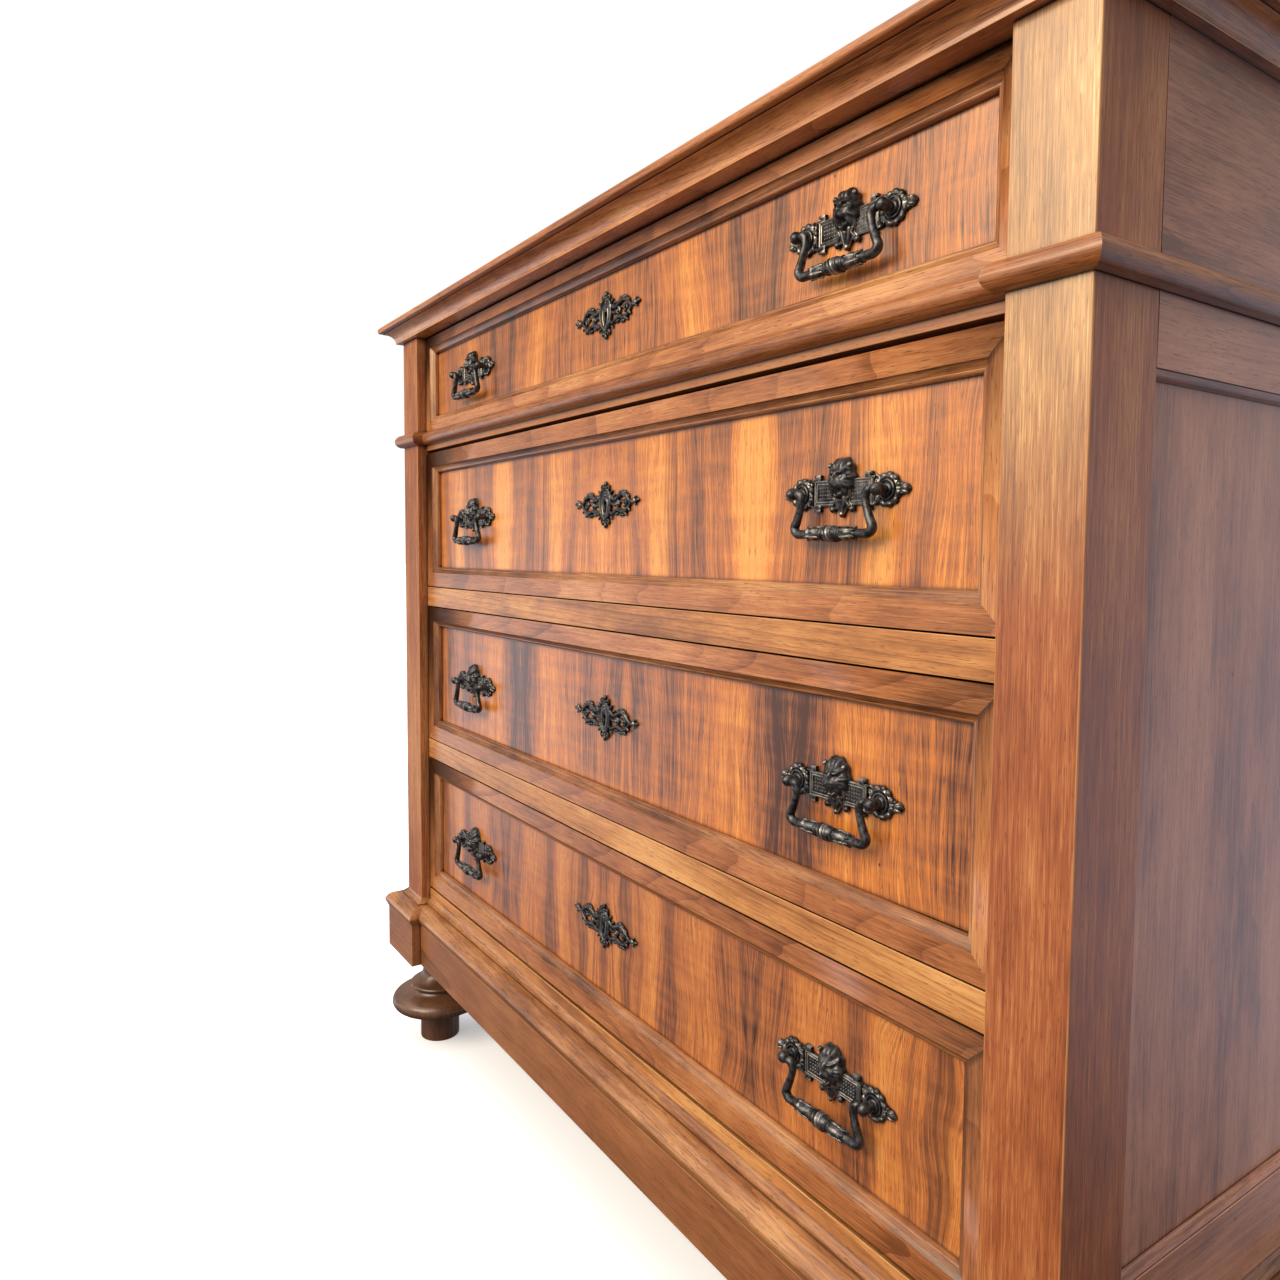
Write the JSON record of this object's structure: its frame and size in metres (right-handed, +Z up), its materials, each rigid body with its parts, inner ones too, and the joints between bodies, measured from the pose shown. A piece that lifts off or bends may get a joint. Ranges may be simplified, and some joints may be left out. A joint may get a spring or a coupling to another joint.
{
  "type": "chest of drawers",
  "caption": "Walnut chest of drawers with mitred drawer frames, a moulded top and plinth, turned feet and hanging iron handles.",
  "frame": {"origin": "on the floor, under the middle of the chest", "axes": "+X to the right along the front as seen from in front, +Y from the front to the back, +Z up"},
  "size_m": [1.202, 0.5499, 1.09],
  "materials": {
    "walnut_polished": "shellac polish over solid walnut, worn to a soft gloss",
    "walnut_veneer": "figured walnut veneer under shellac, gloss",
    "walnut_turned": "turned walnut, polished, dusty near the floor",
    "poplar_plain": "planed poplar, bare",
    "iron_bronzed": "cast iron with a dark bronzed coat, edges worn bright",
    "iron_lock": "dark steel plate, oiled"
  },
  "bodies": {
    "case": {"top_board": "walnut_polished", "cornice": "walnut_polished", "astragal": "walnut_polished", "post_front_left": "walnut_polished", "post_front_right": "walnut_polished", "post_rear_left": "walnut_polished", "post_rear_right": "walnut_polished", "side_panel_left": "walnut_polished", "side_panel_right": "walnut_polished", "side_rails_left": "walnut_polished", "side_rails_right": "walnut_polished", "drawer_rail_1": "walnut_polished", "drawer_rail_2": "walnut_polished", "drawer_rail_3": "walnut_polished", "base_rail": "walnut_polished", "runners": "poplar_plain", "dust_boards": "poplar_plain", "back_panel": "poplar_plain", "plinth_cap": "walnut_polished", "plinth_front": "walnut_polished", "plinth_blocks": "walnut_polished", "plinth_sides": "walnut_polished", "feet_front": "walnut_turned", "feet_rear": "walnut_turned"},
    "drawer_1": {"drawer_1_front": "walnut_veneer", "drawer_1_frame": "walnut_polished", "drawer_1_box": "poplar_plain", "drawer_1_bottom": "poplar_plain", "drawer_1_handle_plates": "iron_bronzed", "drawer_1_escutcheon": "iron_bronzed", "drawer_1_lock": "iron_lock"},
    "bail_1_left": {"bail_1_left": "iron_bronzed"},
    "bail_1_right": {"bail_1_right": "iron_bronzed"},
    "drawer_2": {"drawer_2_front": "walnut_veneer", "drawer_2_frame": "walnut_polished", "drawer_2_box": "poplar_plain", "drawer_2_bottom": "poplar_plain", "drawer_2_handle_plates": "iron_bronzed", "drawer_2_escutcheon": "iron_bronzed", "drawer_2_lock": "iron_lock"},
    "bail_2_left": {"bail_2_left": "iron_bronzed"},
    "bail_2_right": {"bail_2_right": "iron_bronzed"},
    "drawer_3": {"drawer_3_front": "walnut_veneer", "drawer_3_frame": "walnut_polished", "drawer_3_box": "poplar_plain", "drawer_3_bottom": "poplar_plain", "drawer_3_handle_plates": "iron_bronzed", "drawer_3_escutcheon": "iron_bronzed", "drawer_3_lock": "iron_lock"},
    "bail_3_left": {"bail_3_left": "iron_bronzed"},
    "bail_3_right": {"bail_3_right": "iron_bronzed"},
    "drawer_4": {"drawer_4_front": "walnut_veneer", "drawer_4_frame": "walnut_polished", "drawer_4_box": "poplar_plain", "drawer_4_bottom": "poplar_plain", "drawer_4_handle_plates": "iron_bronzed", "drawer_4_escutcheon": "iron_bronzed", "drawer_4_lock": "iron_lock"},
    "bail_4_left": {"bail_4_left": "iron_bronzed"},
    "bail_4_right": {"bail_4_right": "iron_bronzed"}
  },
  "joints": [
    {"name": "drawer_1_slide", "type": "slide", "parent": "case", "child": "drawer_1", "axis": [0, -1, 0], "range_m": [0, 0.36]},
    {"name": "bail_1_left_swing", "type": "hinge", "parent": "drawer_1", "child": "bail_1_left", "pos_m": [-0.355, -0.227, 0.9955], "axis": [-1, 0, 0], "range_deg": [0, 100]},
    {"name": "bail_1_right_swing", "type": "hinge", "parent": "drawer_1", "child": "bail_1_right", "pos_m": [0.355, -0.227, 0.9955], "axis": [-1, 0, 0], "range_deg": [0, 100]},
    {"name": "drawer_2_slide", "type": "slide", "parent": "case", "child": "drawer_2", "axis": [0, -1, 0], "range_m": [0, 0.36]},
    {"name": "bail_2_left_swing", "type": "hinge", "parent": "drawer_2", "child": "bail_2_left", "pos_m": [-0.355, -0.227, 0.799], "axis": [-1, 0, 0], "range_deg": [0, 100]},
    {"name": "bail_2_right_swing", "type": "hinge", "parent": "drawer_2", "child": "bail_2_right", "pos_m": [0.355, -0.227, 0.799], "axis": [-1, 0, 0], "range_deg": [0, 100]},
    {"name": "drawer_3_slide", "type": "slide", "parent": "case", "child": "drawer_3", "axis": [0, -1, 0], "range_m": [0, 0.36]},
    {"name": "bail_3_left_swing", "type": "hinge", "parent": "drawer_3", "child": "bail_3_left", "pos_m": [-0.355, -0.227, 0.572], "axis": [-1, 0, 0], "range_deg": [0, 100]},
    {"name": "bail_3_right_swing", "type": "hinge", "parent": "drawer_3", "child": "bail_3_right", "pos_m": [0.355, -0.227, 0.572], "axis": [-1, 0, 0], "range_deg": [0, 100]},
    {"name": "drawer_4_slide", "type": "slide", "parent": "case", "child": "drawer_4", "axis": [0, -1, 0], "range_m": [0, 0.36]},
    {"name": "bail_4_left_swing", "type": "hinge", "parent": "drawer_4", "child": "bail_4_left", "pos_m": [-0.355, -0.227, 0.3439], "axis": [-1, 0, 0], "range_deg": [0, 100]},
    {"name": "bail_4_right_swing", "type": "hinge", "parent": "drawer_4", "child": "bail_4_right", "pos_m": [0.355, -0.227, 0.3439], "axis": [-1, 0, 0], "range_deg": [0, 100]}
  ]
}
